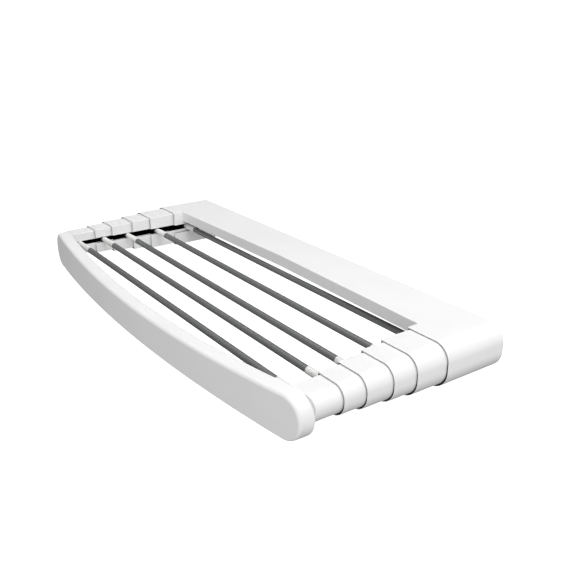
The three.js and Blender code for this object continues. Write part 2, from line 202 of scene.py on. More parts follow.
class Nodes:
    """Adds nodes to one material and joins them."""

    def __init__(self, name):
        self.material = bpy.data.materials.new(name)
        self.material.use_nodes = True
        self.tree = self.material.node_tree
        self.shader = self.tree.nodes["Principled BSDF"]
        self.place = self.add("ShaderNodeTexCoord").outputs["Object"]

    def add(self, kind):
        return self.tree.nodes.new(kind)

    def join(self, output, target):
        self.tree.links.new(output, target)

    def noise(self, scale, detail, stretch=None):
        node = self.add("ShaderNodeTexNoise")
        node.inputs["Scale"].default_value = scale
        node.inputs["Detail"].default_value = detail
        if stretch:
            mapping = self.add("ShaderNodeMapping")
            mapping.inputs["Scale"].default_value = stretch
            self.join(self.place, mapping.inputs["Vector"])
            self.join(mapping.outputs["Vector"], node.inputs["Vector"])
        else:
            self.join(self.place, node.inputs["Vector"])
        return node.outputs["Fac"]

    def ramp(self, value, low, high, at=(0.3, 0.7)):
        """Two colours, mixed by a value."""
        node = self.add("ShaderNodeValToRGB")
        for element, position, colour in zip(node.color_ramp.elements, at, (low, high)):
            element.position = position
            element.color = (*colour, 1.0)
        self.join(value, node.inputs["Fac"])
        return node.outputs["Color"]

    def span(self, value, low, high):
        """A value from 0 to 1, spread from low to high."""
        node = self.add("ShaderNodeMapRange")
        node.inputs["To Min"].default_value = low
        node.inputs["To Max"].default_value = high
        self.join(value, node.inputs["Value"])
        return node.outputs["Result"]

    def bump(self, value, strength, distance, below=None):
        node = self.add("ShaderNodeBump")
        node.inputs["Strength"].default_value = strength
        node.inputs["Distance"].default_value = distance
        self.join(value, node.inputs["Height"])
        if below is not None:
            self.join(below, node.inputs["Normal"])
        return node.outputs["Normal"]

    def finish(self, colour, roughness, normal, **shader):
        self.join(colour, self.shader.inputs["Base Color"])
        self.join(roughness, self.shader.inputs["Roughness"])
        self.join(normal, self.shader.inputs["Normal"])
        for key, value in shader.items():
            self.shader.inputs[key.replace("_", " ")].default_value = value
        return self.material


def moulded(name, low, high, rough, **shader):
    """Moulded plastic: faint clouding in the colour, a fine grain and a slow flow in the sheen."""
    n = Nodes(name)
    colour = n.ramp(n.noise(scale=9.0, detail=4.0), low, high)
    roughness = n.span(n.noise(scale=60.0, detail=5.0), *rough)
    flow = n.bump(n.noise(scale=25.0, detail=2.0), strength=0.15, distance=0.0002)
    grain = n.noise(scale=900.0, detail=2.0)
    normal = n.bump(grain, strength=0.35, distance=0.00002, below=flow)
    return n.finish(colour, roughness, normal, **shader)


def coated(name, low, high, rough, metal):
    """Powder coat on steel: orange peel, and fine lighter grains."""
    n = Nodes(name)
    colour = n.ramp(n.noise(scale=1400.0, detail=2.0), low, high, at=(0.35, 0.65))
    roughness = n.span(n.noise(scale=300.0, detail=3.0), *rough)
    peel = n.bump(n.noise(scale=420.0, detail=2.0), strength=0.25, distance=0.0001)
    grain = n.noise(scale=1800.0, detail=1.0)
    normal = n.bump(grain, strength=0.3, distance=0.00004, below=peel)
    return n.finish(colour, roughness, normal, Metallic=metal)


def plated(name, low, high, rough):
    """Zinc plate: bright, with turned marks and small clouds."""
    n = Nodes(name)
    colour = n.ramp(n.noise(scale=500.0, detail=4.0), low, high)
    roughness = n.span(n.noise(scale=900.0, detail=3.0), *rough)
    marks = n.noise(scale=2600.0, detail=2.0, stretch=(1.0, 1.0, 0.2))
    normal = n.bump(marks, strength=0.3, distance=0.00003)
    return n.finish(colour, roughness, normal, Metallic=1.0)


def glowing(name, low, high, rough):
    """A pale floor that shines by itself, so that no shadow or tint shows on it."""
    n = Nodes(name)
    colour = n.ramp(n.noise(scale=0.4, detail=2.0), low, high)
    roughness = n.span(n.noise(scale=3.0, detail=2.0), *rough)
    normal = n.bump(n.noise(scale=40.0, detail=2.0), strength=0.02, distance=0.001)
    white = (1.0, 1.0, 1.0, 1.0)
    return n.finish(colour, roughness, normal, Emission_Color=white, Emission_Strength=1.0)


WHITE_LOW = (0.885, 0.886, 0.884)
WHITE_HIGH = (0.915, 0.916, 0.914)
HOUSING_WHITE = moulded("housing_white", WHITE_LOW, WHITE_HIGH, (0.36, 0.46))
SLEEVE_WHITE = moulded("sleeve_white", WHITE_LOW, WHITE_HIGH, (0.34, 0.44))
BAR_WHITE = moulded("bar_white", WHITE_LOW, WHITE_HIGH, (0.36, 0.46))
FERRULE_WHITE = moulded("ferrule_white", (0.75, 0.75, 0.74), (0.82, 0.82, 0.81), (0.42, 0.52))
# Painted shade: a near-black with no specular, put on the arms' insides, the slots' edges and the
# lips' faces so that the hollows, slots and mouth gaps read as lying in shadow.
INSIDE_PAINTED_SHADE = moulded(
    "inside_painted_shade", (0.002, 0.002, 0.002), (0.004, 0.004, 0.004), (0.8, 0.9), Specular_IOR_Level=0.0
)
RUNNER_BLACK = moulded("runner_black", (0.008, 0.008, 0.008), (0.02, 0.02, 0.02), (0.45, 0.6))
ROD_GREY = coated("rod_grey", (0.15, 0.152, 0.155), (0.2, 0.202, 0.205), (0.38, 0.5), 0.2)
PLATE_GREY = coated("plate_steel", (0.6, 0.61, 0.62), (0.7, 0.71, 0.72), (0.42, 0.55), 0.1)
SCREW_ZINC = plated("screw_zinc", (0.5, 0.51, 0.52), (0.68, 0.69, 0.7), (0.25, 0.42))
FLOOR_PALE = glowing("floor_pale", (0.94, 0.94, 0.94), (0.96, 0.96, 0.96), (0.8, 0.9))


# ---- meshes ------------------------------------------------------------------------------


class Shell:
    """Collects the points and faces of one mesh. A face's look is the number of its material."""

    def __init__(self):
        self.points = []
        self.faces = []
        self.looks = []

    def ring(self, points):
        start = len(self.points)
        self.points += points
        return list(range(start, len(self.points)))

    def face(self, corners, look=0):
        self.faces.append(corners)
        self.looks.append(look)

    def strip(self, a, b, closed=False, look=0):
        """Quads between two rings of the same length."""
        pairs = list(zip(a, a[1:], b, b[1:]))
        if closed:
            pairs.append((a[-1], a[0], b[-1], b[0]))
        for a0, a1, b0, b1 in pairs:
            self.face((a0, a1, b1, b0), look)

    def loft(self, rings, closed=False, look=0):
        made = [self.ring(r) for r in rings]
        for a, b in zip(made, made[1:]):
            self.strip(a, b, closed, look)
        return made

    def mesh(self, name):
        bm = bmesh.new()
        verts = [bm.verts.new(p) for p in self.points]
        for corners, look in zip(self.faces, self.looks):
            bm.faces.new([verts[i] for i in corners]).material_index = look
        bmesh.ops.remove_doubles(bm, verts=bm.verts, dist=1e-7)
        bmesh.ops.recalc_face_normals(bm, faces=bm.faces)
        mesh = bpy.data.meshes.new(name)
        bm.to_mesh(mesh)
        bm.free()
        return mesh


def link(name, data):
    obj = bpy.data.objects.new(name, data)
    bpy.context.scene.collection.objects.link(obj)
    return obj


def solid(shell, name):
    return link(name, shell.mesh(name))


def closed_loft(rings, name, look=0):
    """A solid through closed rings, with a flat face at each end."""
    shell = Shell()
    made = shell.loft(rings, closed=True, look=look)
    shell.face(made[0], look)
    shell.face(made[-1], look)
    return solid(shell, name)


def even_normals(obj):
    """Keeps flat faces flat where smooth edges round them meet."""
    modifier = obj.modifiers.new("normals", "WEIGHTED_NORMAL")
    modifier.keep_sharp = True


def smooth(obj, angle=38.0):
    """Smooth faces, with sharp edges above an angle."""
    bm = bmesh.new()
    bm.from_mesh(obj.data)
    for face in bm.faces:
        face.smooth = True
    for edge in bm.edges:
        edge.smooth = edge.calc_face_angle(math.pi) < math.radians(angle)
    bm.to_mesh(obj.data)
    bm.free()
    even_normals(obj)
    return obj


def paint(obj, *materials):
    """Gives the object these materials, and keeps which face has which."""
    looks = [face.material_index for face in obj.data.polygons]
    obj.data.materials.clear()
    for material in materials:
        obj.data.materials.append(material)
    for face, look in zip(obj.data.polygons, looks):
        face.material_index = look
    return obj


def combine(obj, others, operation):
    """Joins or cuts obj with other closed meshes, which are used up."""
    for other in others:
        modifier = obj.modifiers.new("combine", "BOOLEAN")
        modifier.operation = operation
        modifier.solver = "EXACT"
        modifier.object = other
    graph = bpy.context.evaluated_depsgraph_get()
    obj.data = bpy.data.meshes.new_from_object(obj.evaluated_get(graph))
    obj.modifiers.clear()
    for other in others:
        bpy.data.objects.remove(other)
    return obj


def block(name, a, b, radius=0.0):
    """A block between two (x, depth, z) corners. Its edges are rounded if there is a radius."""
    low = [min(p, q) for p, q in zip(a, b)]
    high = [max(p, q) for p, q in zip(a, b)]
    bm = bmesh.new()
    bmesh.ops.create_cube(bm, size=1.0)
    middle = spot(*[(p + q) / 2 for p, q in zip(low, high)])
    size = [(q - p) * MM for p, q in zip(low, high)]
    for vert in bm.verts:
        vert.co = middle + Vector([c * s for c, s in zip(vert.co, size)])
    if radius:
        rounding = {"offset": radius * MM, "segments": 2, "profile": 0.5, "affect": "EDGES"}
        bmesh.ops.bevel(bm, geom=bm.edges, **rounding)
    mesh = bpy.data.meshes.new(name)
    bm.to_mesh(mesh)
    bm.free()
    return link(name, mesh)


def arc(x, z, radius, start, end, steps):
    points = []
    for i in range(steps + 1):
        angle = math.radians(start + (end - start) * i / steps)
        points.append((x + radius * math.cos(angle), z + radius * math.sin(angle)))
    return points


def turned(profile, origin, axis, sides):
    """Rings round an axis. The profile is (distance along the axis, radius), in millimetres."""
    along = Vector(axis).normalized()
    across = along.orthogonal().normalized()
    up = along.cross(across)
    turns = [2 * math.pi * i / sides for i in range(sides)]
    spokes = [across * math.cos(a) + up * math.sin(a) for a in turns]
    rings = []
    for distance, radius in profile:
        centre = origin + along * distance * MM
        rings.append([centre + spoke * radius * MM for spoke in spokes])
    return rings


def show(obj, body, slot, *nodes):
    """The finished piece rides on its body and stands for its CAD nodes."""
    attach(obj, body)
    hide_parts(*nodes)
    return obj


# ---- arms --------------------------------------------------------------------------------


def section(stage):
    """Stage 0 is the housing's arm, stages 1 to 5 are the sleeves."""
    return {
        "inner": INNER_FACE + stage * STEP_INNER,
        "outer": HALF_WIDTH - stage * STEP_OUTER,
        "top": -stage * STEP_TOP,
        "bottom": -HEIGHT + stage * STEP_BOTTOM,
        "top_radius": TOP_RADIUS - stage * STEP_RADIUS,
        "bottom_radius": BOTTOM_RADIUS - stage * STEP_RADIUS,
        "slot": SLOTS[stage],
    }


def station(depth, inset, **other):
    """One ring of an arm, with its sides moved in by inset unless they are given on their own:
    face is the inner face and foot its lower end. Relief squares off the lower outer corner,
    forward brings the lower outer side nearer to the mouth, by no more than this much, and
    corner is the radius of the upper inner corner if it differs from the other edges."""
    ring = dict.fromkeys(("face", "top", "outer", "bottom", "foot"), inset)
    return {"depth": depth, "relief": 0.0, "forward": 0.0, "corner": 0.0, **ring, **other}


def arm_outline(s, ring, open_slot):
    """(x, z) points from the slot's upper edge round the outside to its lower edge."""
    x0, x1 = s["inner"] + ring["face"], s["outer"] - ring["outer"]
    z0, z1 = s["bottom"] + ring["bottom"], s["top"] - ring["top"]
    small = max(EDGE - max(ring["face"], ring["top"]), EDGE_LEAST)
    corner = ring["corner"] or small
    top = s["top_radius"] - (ring["top"] + ring["outer"]) / 2
    low = s["bottom_radius"] - (ring["bottom"] + ring["outer"]) / 2 - ring["relief"]
    foot = s["bottom"] + ring["foot"]
    points = [(x0, s["slot"][0])] if open_slot else []
    points += arc(x0 + corner, z1 - corner, corner, 180, 90, EDGE_STEPS)
    points += arc(x1 - top, z1 - top, top, 90, 0, TOP_STEPS)
    points += arc(x1 - low, z0 + low, low, 0, -90, BOTTOM_STEPS)
    points += arc(x0 + small, foot + small, small, -90, -180, EDGE_STEPS)
    if open_slot:
        points.append((x0, s["slot"][1]))
    return points


def arm_rings(side, s, stations, open_slot):
    rings = []
    for ring in stations:
        points = []
        for x, z in arm_outline(s, ring, open_slot):
            across = (x - s["inner"]) / (s["outer"] - s["inner"])
            forward = min(ring["forward"], LEAN * (s["top"] - z) * across)
            points.append(spot(side * x, ring["depth"] + forward, z))
        rings.append(points)
    return rings


def mouth_stations(mouth):
    """A rounded outer edge that ends at the mouth."""
    stations = []
    for i in range(MOUTH_STEPS + 1):
        angle = math.pi / 2 * i / MOUTH_STEPS
        depth = mouth - MOUTH_EDGE * (1 - math.sin(angle))
        stations.append(station(depth, MOUTH_EDGE * (1 - math.cos(angle))))
    return stations


def hollow_stations(near, mouth, rim):
    """The hollow's wall, from its near end to the mouth. A thicker lip narrows it just behind
    the mouth, and the wall thins out in front of the lip."""
    lip = WALL + GUIDE
    # The lip's face is painted shade; forward brings it up to the mouth on the lower outer side so
    # that painted shade fills the gap there.
    forward = RECESS - RECESS_LOW
    return [
        station(near, WALL),
        station(mouth - LIP_LENGTH - GUIDE_RAMP, WALL),
        station(mouth - LIP_LENGTH, lip),
        station(mouth - RECESS, lip, forward=forward),
        station(mouth - RECESS, 0.0, forward=forward, corner=CORNER, **rim),
        station(mouth, 0.0, corner=CORNER, **rim),
    ]


def make_sleeve(name, side, stage):
    """A slotted tube. Its inner end is thicker outside, and the bar's back closes the last one."""
    sleeve = SLEEVES[stage - 1]
    before = HOUSING_MOUTH if stage == 1 else SLEEVES[stage - 2].mouth
    rear = sleeve.mouth - sleeve.length
    stop = before - LIP_LENGTH - GAP
    last = stage == len(SLEEVES)
    outside = [
        station(rear, SOFT - GUIDE, face=SOFT),
        station(rear + SOFT, -GUIDE, face=0.0),
        station(stop - GUIDE_RAMP, -GUIDE, face=0.0),
        station(stop, 0.0),
    ]
    if last:
        outside.append(station(sleeve.mouth, 0.0))
        inside = [station(rear, WALL), station(sleeve.mouth, WALL)]
    else:
        outside += mouth_stations(sleeve.mouth)
        inside = hollow_stations(rear, sleeve.mouth, sleeve.rim)
    s = section(stage)
    outer_rings = arm_rings(side, s, outside, open_slot=True)
    inner_rings = arm_rings(side, s, inside, open_slot=True)
    if last:
        for rings in (outer_rings, inner_rings):
            rings[-1] = [follow_bar(p) for p in rings[-1]]
    shell = Shell()
    outer = shell.loft(outer_rings)
    # Look 1 is the painted shade: the sleeve's inside and its slot's edges are near black to stand
    # for the shadow within them.
    inner = shell.loft(inner_rings, look=1)
    shell.strip(outer[0], inner[0])
    shell.strip(outer[-1], inner[-1])
    for end in (0, -1):  # the slot's two edges
        shell.face([r[end] for r in outer] + [r[end] for r in reversed(inner)], look=1)
    return paint(smooth(solid(shell, name)), SLEEVE_WHITE, INSIDE_PAINTED_SHADE)


# ---- front bar ---------------------------------------------------------------------------


def bow(x, behind):
    """Distance from the wall of the bar's surface that lies this far behind its front."""
    radius = BAR_RADIUS - behind
    return math.sqrt(radius * radius - x * x) - (BAR_RADIUS - BAR_FRONT)


def follow_bar(point):
    """Moves a point of a sleeve's end to just behind the back of the bar."""
    return Vector((point.x, -bow(point.x / MM, BAR_DEPTH + GAP) * MM, point.z))


def bar_end(x, start):
    """Half a turn of the outline, clockwise round an end's middle."""
    z = BAR_BOTTOM + BAR_END_RADIUS
    points = []
    for i in range(BAR_END_STEPS + 1):
        a = math.radians(start - 180 * i / BAR_END_STEPS)
        nx, nz = math.cos(a), math.sin(a)
        points.append((x + BAR_END_RADIUS * nx, z + BAR_END_RADIUS * nz, nx, nz))
    return points


def bar_outline():
    """(x, z, normal x, normal z) all round, seen from the front. The top comes first, from left
    to right, and the bottom's points lie under the top's."""
    end_x = BAR_HALF - BAR_END_RADIUS
    sag = BAR_TOP_MIDDLE - BAR_TOP_END
    xs = [end_x * (2 * i / BAR_STEPS - 1) for i in range(1, BAR_STEPS)]
    points = []
    for x in xs:
        t = x / end_x
        normal = Vector((2 * sag * t / end_x, 1.0)).normalized()
        points.append((x, BAR_TOP_END + sag * (1 - t * t), normal.x, normal.y))
    points += bar_end(end_x, 90)
    points += [(x, BAR_BOTTOM, 0.0, -1.0) for x in reversed(xs)]
    points += bar_end(-end_x, -90)
    return points


def bar_ring(inset, behind, soft=False):
    """The outline, moved in by inset and lying this far behind the bar's front. With soft, both
    are shares of the front's edge radius, which is larger along the top."""
    ring = []
    for x, z, nx, nz in bar_outline():
        radius = 1.0
        if soft:
            radius = BAR_SOFT_BOTTOM + (BAR_SOFT_TOP - BAR_SOFT_BOTTOM) * (nz + 1) / 2
        draft = BAR_DRAFT * (1 - behind * radius / BAR_DEPTH) * min(1.0, nz + 1.0)
        total = inset * radius + draft
        px, pz = x - nx * total, z - nz * total
        ring.append(spot(px, bow(px, behind * radius), pz))
    return ring


def fill_bar(shell, ring):
    """Closes a bar ring with upright strips between its top and its bottom."""
    count = len(ring)
    top_count = BAR_STEPS - 1
    half_end = BAR_END_STEPS // 2
    pairs = []
    for i in range(-half_end - 1, top_count + half_end + 1):
        below = 2 * top_count + BAR_END_STEPS - i
        pairs.append((ring[i % count], ring[below % count]))
    for (a, b), (c, d) in zip(pairs, pairs[1:]):
        shell.face(list(dict.fromkeys((a, c, d, b))))


def bar_solid(name, rings):
    shell = Shell()
    made = shell.loft(rings, closed=True)
    fill_bar(shell, made[0])
    fill_bar(shell, made[-1])
    return paint(smooth(solid(shell, name)), BAR_WHITE)


def quarter(steps):
    """(inset, behind) shares of a rounded edge, from the front face to the side."""
    angles = [math.pi / 2 * i / steps for i in range(steps + 1)]
    return [(1 - math.sin(a), 1 - math.cos(a)) for a in angles]


def make_front_bar():
    """The shell, open at the back: its outside from the front to the back, then its inside."""
    rings = [bar_ring(inset, behind, soft=True) for inset, behind in quarter(6)]
    for inset, behind in reversed(quarter(3)):
        rings.append(bar_ring(inset * BAR_SOFT_BACK, BAR_DEPTH - BAR_SOFT_BACK * behind))
    rings.append(bar_ring(BAR_RIM - SOFT, BAR_DEPTH))
    rings.append(bar_ring(BAR_RIM, BAR_DEPTH - SOFT))
    rings.append(bar_ring(BAR_RIM, BAR_RIM + BAR_FILLET))
    rings.append(bar_ring(BAR_RIM + BAR_FILLET, BAR_RIM))
    return bar_solid("front_bar_skin", rings)


def make_back_panel():
    inset = BAR_RIM + GAP
    rings = [
        bar_ring(inset, BAR_DEPTH - BAR_PANEL),
        bar_ring(inset, BAR_DEPTH - PANEL_EDGE),
        bar_ring(inset + PANEL_EDGE, BAR_DEPTH),
    ]
    return bar_solid("front_bar_back_skin", rings)


def dress_bracket(bracket):
    """The CAD's bracket, black with a white front and rounded edges."""
    for face in bracket.data.polygons:
        face.material_index = 1 if face.normal.y < FACES_FRONT else 0
    paint(bracket, RUNNER_BLACK, SLEEVE_WHITE)
    bracket.modifiers.new("weld", "WELD").merge_threshold = 1e-6
    bevel = bracket.modifiers.new("edges", "BEVEL")
    bevel.width = BRACKET_EDGE * MM
    bevel.segments = 2


# ---- housing -----------------------------------------------------------------------------


def cover_front(x):
    return COVER_MIDDLE + (COVER_SIDE - COVER_MIDDLE) * abs(x) / INNER_FACE


def make_cover():
    """Roof and hanging lip, as one section drawn along the rack."""
    edge, foot, back, root = 1.2, 0.6, 0.5, 1.0  # radii, from the roof's edge round the lip
    reach = INNER_FACE + WALL - GAP
    rings = []
    for x in (-reach, 0.0, reach):
        front = cover_front(x)
        outline = [(0.0, 0.0)]
        outline += arc(front - edge, -edge, edge, 90, 0, 4)
        outline += arc(front - foot, -COVER_LIP + foot, foot, 0, -90, 3)
        outline += arc(front - WALL + back, -COVER_LIP + back, back, -90, -180, 2)
        outline += arc(front - WALL - root, -WALL - root, root, 0, 90, 3)
        outline += [(0.0, -WALL)]
        rings.append([spot(x, depth, z) for depth, z in outline])
    return closed_loft(rings, "cover")


def make_housing_arm(side):
    stations = [station(0.0, BACK_EDGE), station(BACK_EDGE, 0.0)]
    stations += mouth_stations(HOUSING_MOUTH)
    return closed_loft(arm_rings(side, section(0), stations, open_slot=False), "arm")


def make_housing_hollow(side):
    stations = hollow_stations(WALL, HOUSING_MOUTH, OPEN)
    stations.append(station(HOUSING_MOUTH + OVERLAP, 0.0, corner=CORNER, **OPEN))
    # The hollow's faces take look 1, the painted shade that stands for the shadow inside the arm.
    return closed_loft(arm_rings(side, section(0), stations, open_slot=False), "hollow", look=1)


def make_housing_slot(side):
    top, bottom = SLOTS[0]
    a = (side * (INNER_FACE - OVERLAP), SLOT_START, top)
    b = (side * (INNER_FACE + WALL + GUIDE + OVERLAP), HOUSING_MOUTH + OVERLAP, bottom)
    slot = block("slot", a, b)
    # The slot's edges take look 1, painted shade where they lie in shadow.
    for face in slot.data.polygons:
        face.material_index = 1
    return slot


def make_housing():
    """The cover with both arms, its ribs and the tabs that are screwed to the wall plate."""
    housing = make_cover()
    extra = [make_housing_arm(side) for _, side in SIDES]
    for x in COVER_RIBS:
        a = (x - COVER_RIB_THICK / 2, COVER_RIB_NEAR, -OVERLAP)
        b = (x + COVER_RIB_THICK / 2, COVER_MIDDLE - OVERLAP, COVER_RIB_FOOT)
        extra.append(block("rib", a, b))
    for _, side in SIDES:
        a = (side * (INNER_FACE + OVERLAP), TAB_NEAR, TAB_TOP)
        b = (side * (INNER_FACE - TAB_LENGTH), FLANGE_REACH, TAB_TOP - TAB_THICK)
        extra.append(block("tab", a, b, TAB_EDGE))
    combine(housing, extra, "UNION")
    cutters = []
    for _, side in SIDES:
        cutters += [make_housing_hollow(side), make_housing_slot(side)]
    # Look 1 is the painted shade inside the arms and along the slots.
    for obj in (housing, *cutters):
        paint(obj, HOUSING_WHITE, INSIDE_PAINTED_SHADE)
    combine(housing, cutters, "DIFFERENCE")
    housing.name = "housing_skin"
    return smooth(housing)


# ---- wall plate and screws ---------------------------------------------------------------


def make_wall_plate():
    """A sheet with a flange bent out along its foot."""
    edge, bend = PLATE_EDGE, PLATE_BEND
    outline = [(0.0, PLATE_TOP - edge), (edge, PLATE_TOP), (PLATE_THICK - edge, PLATE_TOP)]
    outline += [(PLATE_THICK, PLATE_TOP - edge)]
    top = PLATE_BOTTOM + FLANGE_THICK
    outline += arc(PLATE_THICK + bend, top + bend, bend, 180, 270, 6)
    outline += [(FLANGE_REACH - edge, top), (FLANGE_REACH, top - edge)]
    outline += [(FLANGE_REACH, PLATE_BOTTOM + edge), (FLANGE_REACH - edge, PLATE_BOTTOM)]
    outside = bend + FLANGE_THICK
    outline += arc(outside, PLATE_BOTTOM + outside, outside, -90, -180, 8)
    rings = [[spot(x, depth, z) for depth, z in outline] for x in (-PLATE_HALF, PLATE_HALF)]
    plate = closed_loft(rings, "wall_plate_sheet")
    profile = [(-OVERLAP, WALL_SCREW_HOLE), (PLATE_THICK + OVERLAP, WALL_SCREW_HOLE)]
    holes = []
    for x in WALL_SCREWS:
        rings = turned(profile, spot(x, 0, WALL_SCREW_Z), (0, -1, 0), 24)
        holes.append(closed_loft(rings, "hole"))
    combine(plate, holes, "DIFFERENCE")
    return paint(smooth(plate), PLATE_GREY)


def screw_profile(shank, radius, head_radius, head_height):
    """The tip, the threads, and a head that rests at 0 and domes up to a small flat top."""
    point, tip = 0.8, 0.6 * radius
    plain, pitch, groove, root = 1.2, 1.0, 0.35, 0.86 * radius
    profile = [(-shank, tip), (-shank + point, radius)]
    at = -shank + plain
    while at < -plain:
        profile += [(at, radius), (at + groove, root), (at + 2 * groove, radius)]
        at += pitch
    rim = 0.2
    profile += [(0.0, radius), (0.0, head_radius - rim), (rim, head_radius)]
    straight, flat = 0.3, 0.35  # shares of the head's height and of its radius
    for degrees in (10.0, 27.5, 45.0, 62.5, 80.0):
        angle = math.radians(degrees)
        rise = head_height * (straight + (1 - straight) * math.sin(angle))
        profile.append((rise, head_radius * (flat + (1 - flat) * math.cos(angle))))
    return profile


def recess_arm(long_x, head_radius, head_height):
    """One bar of the cross recess, shorter at its foot."""
    foot = (0.35 * head_height, 0.308 * head_radius)
    top = (1.2 * head_height, 0.56 * head_radius)
    short = 0.11 * head_radius
    rings = []
    for z, long in (foot, top):
        x, y = (long, short) if long_x else (short, long)
        corners = ((-x, -y), (x, -y), (x, y), (-x, y))
        rings.append([Vector((p, q, z)) * MM for p, q in corners])
    return closed_loft(rings, "recess")


def screw_pattern(name, shank, radius, head_radius, head_height):
    """A pan head screw with a cross recess. Its head rests on z = 0 and its shank goes down."""
    profile = screw_profile(shank, radius, head_radius, head_height)
    screw = closed_loft(turned(profile, Vector((0, 0, 0)), (0, 0, 1), 32), name)
    arms = [recess_arm(long_x, head_radius, head_height) for long_x in (True, False)]
    combine(screw, arms, "DIFFERENCE")
    return paint(smooth(screw, 32.0), SCREW_ZINC)


def place_screw(pattern, name, where, direction):
    """A copy of a screw, with its head's top facing direction."""
    screw = link(name, pattern.data)
    even_normals(screw)
    screw.location = where
    screw.rotation_mode = "QUATERNION"
    screw.rotation_quaternion = Vector((0, 0, 1)).rotation_difference(Vector(direction))
    return screw


# ---- rods, ferrules and runners ----------------------------------------------------------


def make_rod(number, depth):
    left, right = ROD_ENDS["left"], ROD_ENDS["right"]
    profile = [
        (left, ROD_RADIUS - SOFT),
        (left + SOFT, ROD_RADIUS),
        (right - SOFT, ROD_RADIUS),
        (right, ROD_RADIUS - SOFT),
        (right, ROD_BORE),
        (left, ROD_BORE),
    ]
    shell = Shell()
    made = shell.loft(turned(profile, spot(0, depth, ROD_Z), (1, 0, 0), 40), closed=True)
    shell.strip(made[-1], made[0], closed=True)
    return paint(smooth(solid(shell, f"rod_{number}_tube")), ROD_GREY)


def ferrule_radius(at):
    """The barrel is fat at the rod and narrows to the neck that runs in the slots."""
    share = min(max((at - FERRULE_FAT) / FERRULE_TAPER, 0.0), 1.0)
    return FERRULE_RADIUS + (FERRULE_NECK - FERRULE_RADIUS) * share


def ferrule_ribs(length):
    profile = []
    at = RIB_START
    while at < length - RIB_END:
        top = ferrule_radius(at) - RIB_SUNK
        low = top - RIB_RISE
        end = at + RIB_WIDTH
        profile += [(at, low), (at + RIB_RISE, top), (end - RIB_RISE, top), (end, low)]
        at += RIB_PITCH
    return profile


def make_ferrule(name, side, stage, depth, rod_end, cup):
    """A plug inside the rod, a collar that cups its end, a ribbed barrel, and the pin that goes
    through the slot."""
    length = section(stage)["inner"] - GAP - abs(rod_end)
    neck = ferrule_radius(length)
    tip = length + GAP + WALL + GAP + RUNNER_THICK
    socket = ROD_RADIUS + CUP_GAP
    profile = [(-PLUG_LENGTH, PIN_RADIUS), (-PLUG_LENGTH + PLUG_POINT, PLUG_RADIUS)]
    profile += [(GAP, PLUG_RADIUS), (GAP, socket), (-cup, socket)]
    profile += [(-cup, FERRULE_RADIUS - COLLAR_EDGE), (COLLAR_EDGE - cup, FERRULE_RADIUS)]
    profile += [(COLLAR_LENGTH, FERRULE_RADIUS)]
    profile += [(COLLAR_LENGTH + COLLAR_SLOPE, FERRULE_RADIUS - SOFT)]
    profile += ferrule_ribs(length)
    profile += [(length - 3 * SOFT, neck - SOFT), (length - 2 * SOFT, neck), (length, neck)]
    profile += [(length, PIN_RADIUS), (tip - SOFT, PIN_RADIUS), (tip, PIN_RADIUS - SOFT)]
    rings = turned(profile, spot(rod_end, depth, ROD_Z), (side, 0, 0), 32)
    return paint(smooth(closed_loft(rings, name), 32.0), FERRULE_WHITE)


def make_runner(name, side, stage, depth):
    """A plate inside the arm with a tongue in its slot, and a hole for the ferrule's pin."""
    inner = section(stage)["inner"]
    top, bottom = SLOTS[stage]
    back = inner + WALL + GAP
    low, high = ROD_Z - RUNNER_HALF_HEIGHT, ROD_Z + RUNNER_HALF_HEIGHT
    a = (side * back, depth - RUNNER_HALF, low)
    b = (side * (back + RUNNER_THICK), depth + RUNNER_HALF, high)
    plate = block(name, a, b, RUNNER_EDGE)
    a = (side * inner, depth - TONGUE_HALF, bottom + GAP)
    b = (side * (back + RUNNER_EDGE), depth + TONGUE_HALF, top - GAP)
    tongue = block("tongue", a, b, RUNNER_EDGE)
    profile = [(-2 * WALL, PIN_HOLE), (4 * WALL, PIN_HOLE)]
    hole = turned(profile, spot(side * inner, depth, ROD_Z), (side, 0, 0), 24)
    combine(plate, [tongue], "UNION")
    combine(plate, [closed_loft(hole, "hole")], "DIFFERENCE")
    return paint(smooth(plate), RUNNER_BLACK)


# ---- the rack ----------------------------------------------------------------------------

show(make_housing(), "root", "housing_white", "housing")
show(make_wall_plate(), "root", "plate_steel", "wall_plate")

wall_screw = screw_pattern("wall_screw_pattern", PLATE_THICK, **FIVE_MM_SCREW)
for i, x in enumerate(WALL_SCREWS, 1):
    where = spot(x, PLATE_THICK + GAP, WALL_SCREW_Z)
    screw = place_screw(wall_screw, f"wall_screw_{i}_turned", where, (0, -1, 0))
    show(screw, "root", "screw_zinc", f"wall_screw_{i}")

tab_screw = screw_pattern("tab_screw_pattern", TAB_SCREW_LENGTH, **FOUR_MM_SCREW)
for name, side in SIDES:
    where = spot(side * TAB_SCREW_X, TAB_SCREW_DEPTH, PLATE_BOTTOM - GAP)
    screw = place_screw(tab_screw, f"housing_screw_{name}_turned", where, (0, 0, -1))
    show(screw, "root", "screw_zinc", f"housing_screw_{name}")

for stage, sleeve in enumerate(SLEEVES, 1):
    body = f"stage_{stage}"
    number = len(SLEEVES) + 1 - stage
    rod = sleeve.rod
    show(make_rod(number, rod), body, "rod_grey", f"rod_{number}")
    for name, side in SIDES:
        skin = make_sleeve(f"{name}_sleeve_{stage}_skin", side, stage)
        show(skin, body, "sleeve_white", f"{name}_sleeve_{stage}")
        end, cup = ROD_ENDS[name], CUPS[name]
        ferrule = make_ferrule(f"{name}_ferrule_{number}_ribbed", side, stage, rod, end, cup)
        show(ferrule, body, "ferrule_white", f"{name}_ferrule_{number}")
        runner = make_runner(f"{name}_runner_{number}_skin", side, stage, rod)
        show(runner, body, "runner_black", f"{name}_runner_{number}")

